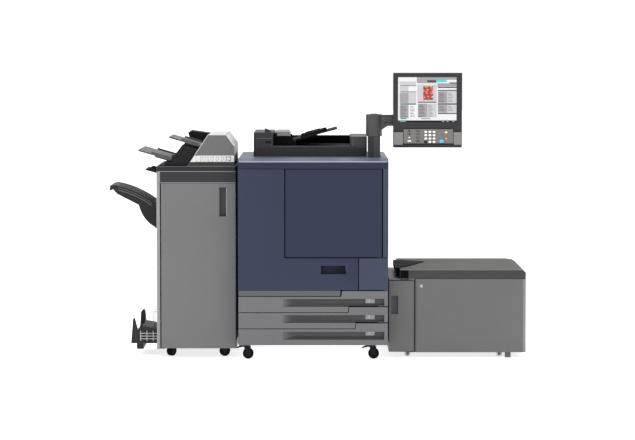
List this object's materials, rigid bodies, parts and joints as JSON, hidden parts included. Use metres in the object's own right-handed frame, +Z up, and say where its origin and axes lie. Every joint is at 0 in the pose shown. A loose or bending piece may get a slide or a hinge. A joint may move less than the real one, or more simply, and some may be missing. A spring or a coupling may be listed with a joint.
{
  "type": "production photocopier",
  "caption": "Floor-standing colour copier system: print engine with document feeder and touch panel, finisher with output trays, and a large paper bank.",
  "frame": {"origin": "middle of the machine's footprint on the floor", "axes": "+X to the machine's right as its user sees it, -Y to the front, +Z up"},
  "size_m": [2.128, 0.99, 1.449],
  "materials": {
    "navy_abs": "fine-grained moulded ABS, navy",
    "grey_abs": "fine-grained moulded ABS, mid grey",
    "charcoal_abs": "fine-grained moulded ABS, charcoal",
    "black_abs": "grained moulded ABS, black",
    "warm_grey_abs": "moulded ABS, warm grey",
    "float_glass": "polished float glass",
    "display_glass": "lit display behind a hard coat",
    "zinc_steel": "zinc-plated sheet steel",
    "bottle_plastic": "blow-moulded polyethylene",
    "drum_coat": "coated aluminium drum",
    "belt_film": "polyimide belt",
    "unit_steel": "plated sheet steel",
    "start_key_plastic": "translucent blue key",
    "stop_key_plastic": "red key",
    "reset_key_plastic": "yellow key",
    "key_plastic": "white key caps",
    "caster_steel": "black enamelled steel",
    "caster_rubber": "black rubber",
    "plated_wheel": "cast wheel, plated"
  },
  "bodies": {
    "chassis": {"engine_frame": "zinc_steel", "engine_left_cover": "navy_abs", "engine_right_cover": "navy_abs", "engine_rear_cover": "navy_abs", "top_deck": "navy_abs", "front_cover": "navy_abs", "toner_bottles": "bottle_plastic", "imaging_drums": "drum_coat", "transfer_belt": "belt_film", "fuser_unit": "unit_steel", "drawer_runners": "zinc_steel", "scanner_base": "charcoal_abs", "platen_glass": "float_glass", "panel_post": "charcoal_abs", "finisher_cabinet": "grey_abs", "finisher_skirt": "grey_abs", "proof_tray": "black_abs", "booklet_tray": "black_abs", "inserter_housing": "grey_abs", "inserter_feed_head": "black_abs", "inserter_upper_tray": "grey_abs", "inserter_lower_tray": "grey_abs", "bank_cabinet": "grey_abs", "bank_front_panel": "grey_abs"},
    "left_door": {"left_front_door": "navy_abs"},
    "toner_door_body": {"toner_door": "navy_abs"},
    "waste_door": {"waste_toner_door": "navy_abs"},
    "drawer_1": {"drawer_1_front": "grey_abs", "drawer_1_tray": "zinc_steel"},
    "drawer_2": {"drawer_2_front": "grey_abs", "drawer_2_tray": "zinc_steel"},
    "drawer_3": {"drawer_3_front": "grey_abs", "drawer_3_tray": "zinc_steel"},
    "feeder": {"feeder_body": "charcoal_abs"},
    "feeder_flap": {"feeder_cover": "warm_grey_abs"},
    "doc_tray": {"document_tray": "charcoal_abs"},
    "arm": {"panel_arm": "charcoal_abs"},
    "panel": {"panel_housing": "charcoal_abs", "panel_screen": "display_glass"},
    "start_key_body": {"start_key": "start_key_plastic"},
    "stop_key_body": {"stop_key": "stop_key_plastic"},
    "reset_key_body": {"reset_key": "reset_key_plastic"},
    "number_keys_body": {"number_keys": "key_plastic"},
    "fin_door": {"finisher_door": "grey_abs"},
    "stacker": {"stacker_tray": "black_abs"},
    "inserter_keys_body": {"inserter_keys": "key_plastic"},
    "relay_door": {"bank_relay_door": "grey_abs"},
    "lid": {"bank_lid": "charcoal_abs"},
    "lift_plate": {"bank_lift_plate": "zinc_steel"},
    "engine_left_caster": {"engine_left_fork": "caster_steel"},
    "engine_left_roller": {"engine_left_wheel": "caster_rubber"},
    "engine_right_caster": {"engine_right_fork": "caster_steel"},
    "engine_right_roller": {"engine_right_wheel": "caster_rubber"},
    "finisher_left_caster": {"finisher_left_fork": "caster_steel"},
    "finisher_left_roller": {"finisher_left_wheel": "caster_rubber"},
    "finisher_right_caster": {"finisher_right_fork": "caster_steel"},
    "finisher_right_roller": {"finisher_right_wheel": "caster_rubber"},
    "engine_rear_rollers": {"engine_rear_wheels": "caster_rubber"},
    "finisher_rear_rollers": {"finisher_rear_wheels": "caster_rubber"},
    "bank_left_rollers": {"bank_left_front_wheel": "plated_wheel", "bank_left_rear_wheel": "plated_wheel"},
    "bank_right_rollers": {"bank_right_front_wheel": "plated_wheel", "bank_right_rear_wheel": "plated_wheel"}
  },
  "joints": [
    {"name": "left_door_hinge", "type": "hinge", "parent": "chassis", "child": "left_door", "pos_m": [-0.387, -0.483, 0.7], "axis": [0, 0, 1], "range_deg": [-110, 0]},
    {"name": "toner_door_hinge", "type": "hinge", "parent": "chassis", "child": "toner_door_body", "pos_m": [0.32, -0.487, 0.7], "axis": [0, 0, 1], "range_deg": [0, 110]},
    {"name": "waste_door_hinge", "type": "hinge", "parent": "chassis", "child": "waste_door", "pos_m": [0.349, -0.483, 0.43], "axis": [0, 0, 1], "range_deg": [0, 110]},
    {"name": "drawer_1_slide", "type": "slide", "parent": "chassis", "child": "drawer_1", "axis": [0, -1, 0], "range_m": [0, 0.45]},
    {"name": "drawer_2_slide", "type": "slide", "parent": "chassis", "child": "drawer_2", "axis": [0, -1, 0], "range_m": [0, 0.45]},
    {"name": "drawer_3_slide", "type": "slide", "parent": "chassis", "child": "drawer_3", "axis": [0, -1, 0], "range_m": [0, 0.45]},
    {"name": "feeder_lift", "type": "hinge", "parent": "chassis", "child": "feeder", "pos_m": [0, 0.377, 1.073], "axis": [1, 0, 0], "range_deg": [-65, 0]},
    {"name": "feeder_cover_hinge", "type": "hinge", "parent": "feeder", "child": "feeder_flap", "pos_m": [-0.214, 0, 1.133], "axis": [0, 1, 0], "range_deg": [-75, 0]},
    {"name": "document_tray_tilt", "type": "hinge", "parent": "feeder", "child": "doc_tray", "pos_m": [-0.131, 0, 1.096], "axis": [0, 1, 0], "range_deg": [-30, 0]},
    {"name": "panel_swivel", "type": "hinge", "parent": "chassis", "child": "arm", "pos_m": [0.292, -0.252, 1.207], "axis": [0, 0, 1], "range_deg": [-60, 30]},
    {"name": "panel_tilt", "type": "hinge", "parent": "arm", "child": "panel", "pos_m": [0, -0.252, 1.207], "axis": [1, 0, 0], "range_deg": [-35, 10]},
    {"name": "start_key_press", "type": "slide", "parent": "panel", "child": "start_key_body", "axis": [0, 1, 0], "range_m": [0, 0.002], "stiffness_N_per_m": 400, "springref_m": -0.001},
    {"name": "stop_key_press", "type": "slide", "parent": "panel", "child": "stop_key_body", "axis": [0, 1, 0], "range_m": [0, 0.002], "stiffness_N_per_m": 400, "springref_m": -0.001},
    {"name": "reset_key_press", "type": "slide", "parent": "panel", "child": "reset_key_body", "axis": [0, 1, 0], "range_m": [0, 0.002], "stiffness_N_per_m": 400, "springref_m": -0.001},
    {"name": "number_keys_press", "type": "slide", "parent": "panel", "child": "number_keys_body", "axis": [0, 1, 0], "range_m": [0, 0.002], "stiffness_N_per_m": 400, "springref_m": -0.001},
    {"name": "finisher_door_hinge", "type": "hinge", "parent": "chassis", "child": "fin_door", "pos_m": [-0.782, -0.396, 0.5], "axis": [0, 0, 1], "range_deg": [-95, 0]},
    {"name": "stacker_lift", "type": "slide", "parent": "chassis", "child": "stacker", "axis": [0, 0, -1], "range_m": [0, 0.4]},
    {"name": "inserter_keys_press", "type": "slide", "parent": "chassis", "child": "inserter_keys_body", "axis": [0, 1, 0], "range_m": [0, 0.002], "stiffness_N_per_m": 600, "springref_m": -0.001},
    {"name": "relay_door_hinge", "type": "hinge", "parent": "chassis", "child": "relay_door", "pos_m": [0.486, -0.398, 0.2], "axis": [0, 0, 1], "range_deg": [0, 95]},
    {"name": "bank_lid_hinge", "type": "hinge", "parent": "chassis", "child": "lid", "pos_m": [0, 0.326, 0.411], "axis": [1, 0, 0], "range_deg": [-65, 0]},
    {"name": "bank_lift", "type": "slide", "parent": "chassis", "child": "lift_plate", "axis": [0, 0, 1], "range_m": [0, 0.28]},
    {"name": "engine_left_swivel", "type": "hinge", "parent": "chassis", "child": "engine_left_caster", "pos_m": [-0.361, -0.425, 0.06], "axis": [0, 0, 1], "continuous": true},
    {"name": "engine_left_roll", "type": "hinge", "parent": "engine_left_caster", "child": "engine_left_roller", "pos_m": [-0.349, -0.425, 0.0275], "axis": [0, 1, 0], "continuous": true},
    {"name": "engine_right_swivel", "type": "hinge", "parent": "chassis", "child": "engine_right_caster", "pos_m": [0.276, -0.425, 0.06], "axis": [0, 0, 1], "continuous": true},
    {"name": "engine_right_roll", "type": "hinge", "parent": "engine_right_caster", "child": "engine_right_roller", "pos_m": [0.288, -0.425, 0.0275], "axis": [0, 1, 0], "continuous": true},
    {"name": "finisher_left_swivel", "type": "hinge", "parent": "chassis", "child": "finisher_left_caster", "pos_m": [-0.753, -0.305, 0.06], "axis": [0, 0, 1], "continuous": true},
    {"name": "finisher_left_roll", "type": "hinge", "parent": "finisher_left_caster", "child": "finisher_left_roller", "pos_m": [-0.74529, -0.29581, 0.0275], "axis": [-0.766, 0.6428, 0], "continuous": true},
    {"name": "finisher_right_swivel", "type": "hinge", "parent": "chassis", "child": "finisher_right_caster", "pos_m": [-0.484, -0.305, 0.06], "axis": [0, 0, 1], "continuous": true},
    {"name": "finisher_right_roll", "type": "hinge", "parent": "finisher_right_caster", "child": "finisher_right_roller", "pos_m": [-0.472, -0.305, 0.0275], "axis": [0, 1, 0], "continuous": true},
    {"name": "engine_rear_roll", "type": "hinge", "parent": "chassis", "child": "engine_rear_rollers", "pos_m": [0, 0.425, 0.0275], "axis": [1, 0, 0], "continuous": true},
    {"name": "finisher_rear_roll", "type": "hinge", "parent": "chassis", "child": "finisher_rear_rollers", "pos_m": [-0.614, 0.215, 0.0275], "axis": [1, 0, 0], "continuous": true},
    {"name": "bank_left_roll", "type": "hinge", "parent": "chassis", "child": "bank_left_rollers", "pos_m": [0.463, 0, 0.016], "axis": [0, 1, 0], "continuous": true},
    {"name": "bank_right_roll", "type": "hinge", "parent": "chassis", "child": "bank_right_rollers", "pos_m": [0.931, 0, 0.016], "axis": [0, 1, 0], "continuous": true}
  ]
}
